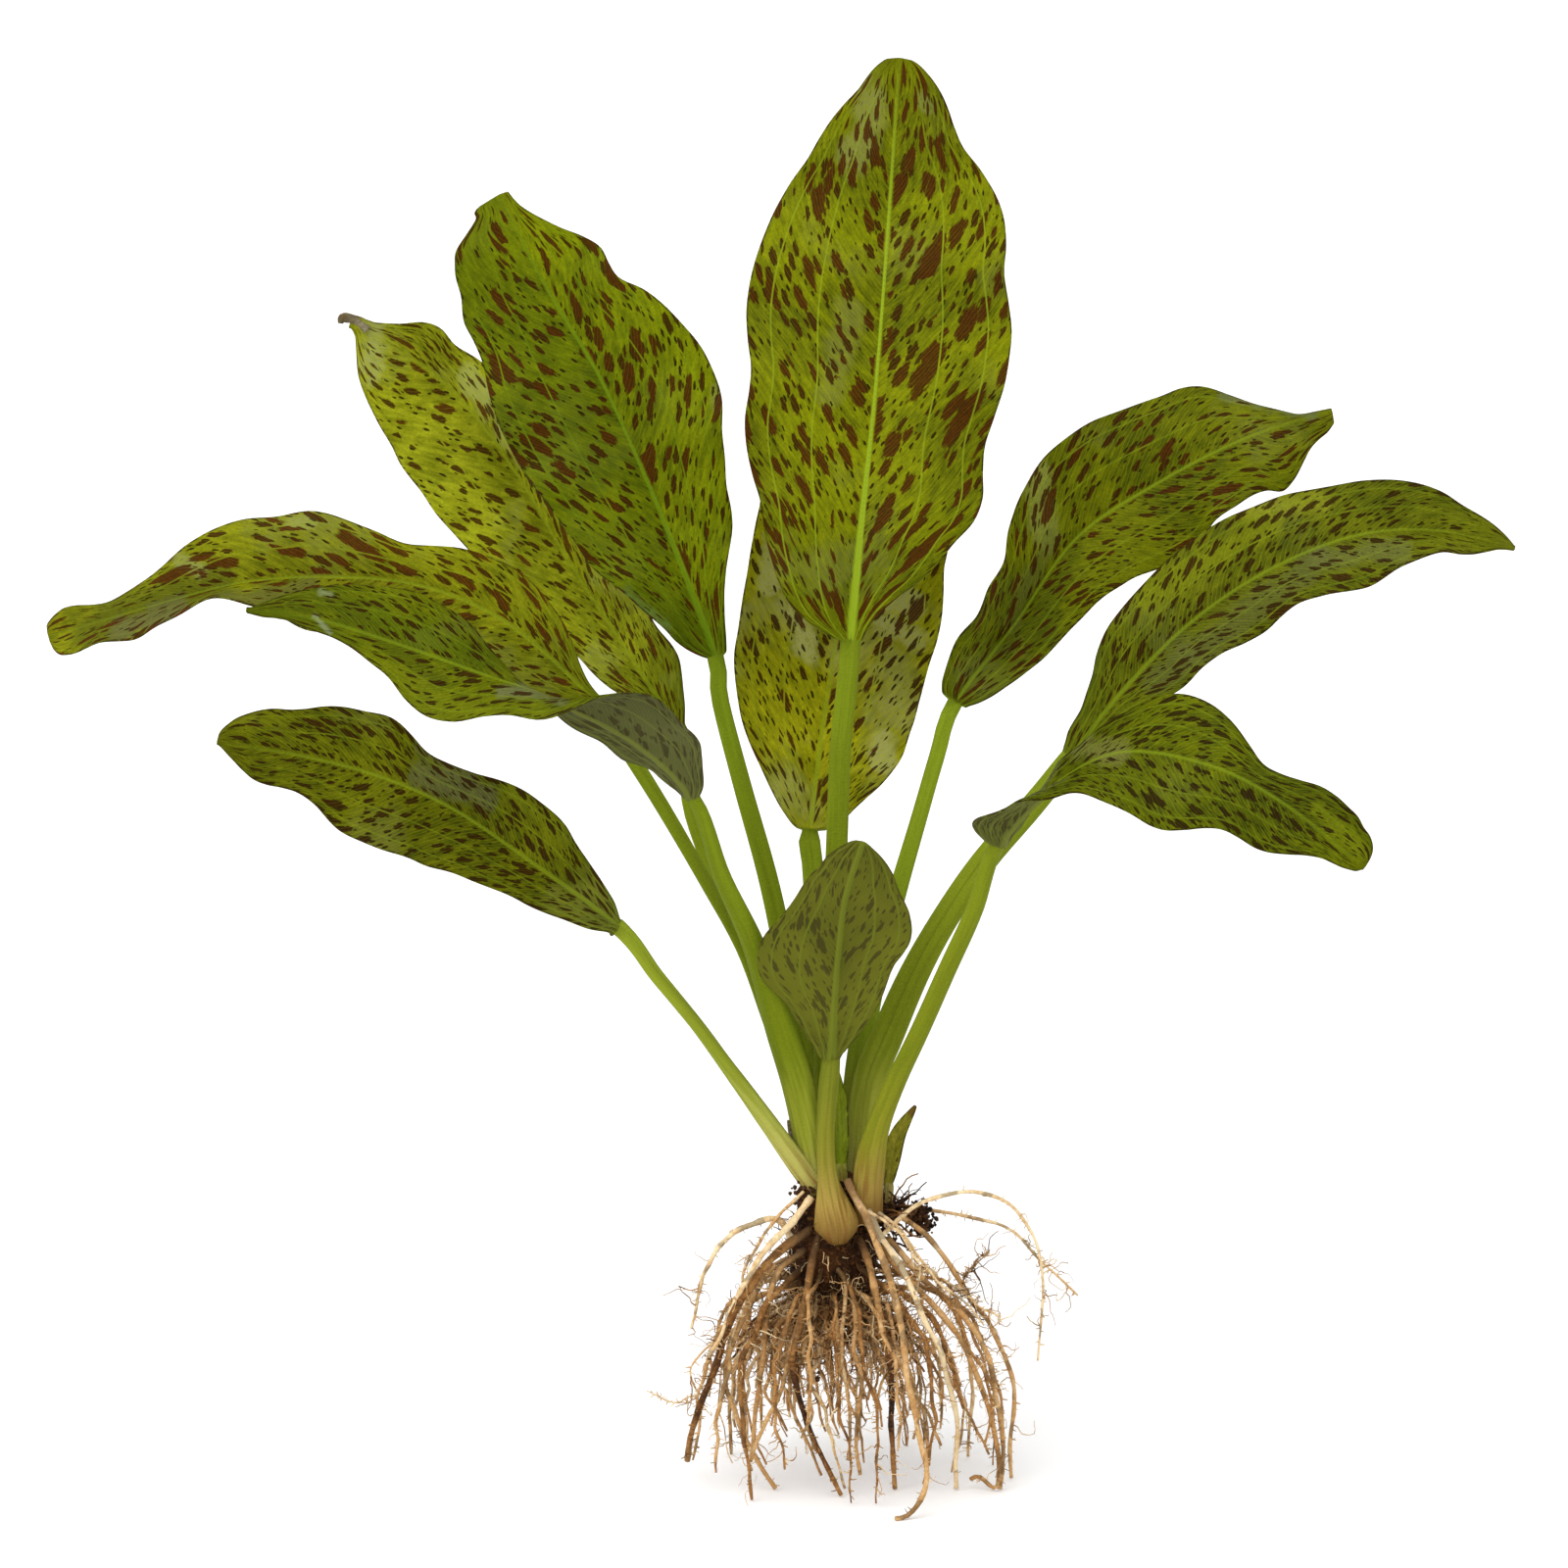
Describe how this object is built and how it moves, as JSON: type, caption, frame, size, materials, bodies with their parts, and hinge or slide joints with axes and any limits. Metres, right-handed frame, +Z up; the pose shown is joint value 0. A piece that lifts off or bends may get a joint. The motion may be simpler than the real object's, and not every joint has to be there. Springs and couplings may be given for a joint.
{
  "type": "amazon sword plant",
  "caption": "Bare-rooted aquarium plant with a rosette of stalked, spotted sword-shaped leaves on a short crown, standing on its fan of roots.",
  "frame": {"origin": "middle of the flat underside of the root mass, on the surface that the plant stands on", "axes": "+Z up, +X to the plant's right as seen from its front, -Y its front"},
  "size_m": [0.3464, 0.1421, 0.3431],
  "materials": {
    "blade_olive": "satin",
    "blade_yellow": "satin",
    "blade_underside": "matte",
    "sheath_green": "satin",
    "crown_brown": "matte",
    "root_mass_brown": "matte",
    "root_tan": "matte"
  },
  "bodies": {
    "root": {"leaf_tall": "blade_olive", "leaf_back": "blade_yellow", "leaf_high_left": "blade_olive", "leaf_far_left": "blade_olive", "leaf_arch_left": "blade_olive", "leaf_twist_left": "blade_olive", "leaf_low_left": "blade_olive", "leaf_front": "blade_underside", "leaf_high_right": "blade_olive", "leaf_arch_right": "blade_olive", "leaf_low_right": "blade_olive", "leaf_young": "sheath_green", "leaf_spike": "sheath_green", "crown": "crown_brown", "root_mass": "root_mass_brown", "root_01": "root_tan", "root_02": "root_tan", "root_03": "root_tan", "root_04": "root_tan", "root_05": "root_tan", "root_06": "root_tan", "root_07": "root_tan", "root_08": "root_tan", "root_09": "root_tan", "root_10": "root_tan", "root_11": "root_tan", "root_12": "root_tan", "root_13": "root_tan", "root_14": "root_tan", "root_15": "root_tan", "root_16": "root_tan", "root_17": "root_tan", "root_18": "root_tan", "root_19": "root_tan", "root_20": "root_tan", "root_21": "root_tan", "root_22": "root_tan", "root_23": "root_tan", "root_stray_left": "root_tan", "root_stray_right": "root_tan", "root_stray_far_right": "root_tan"}
  },
  "joints": []
}
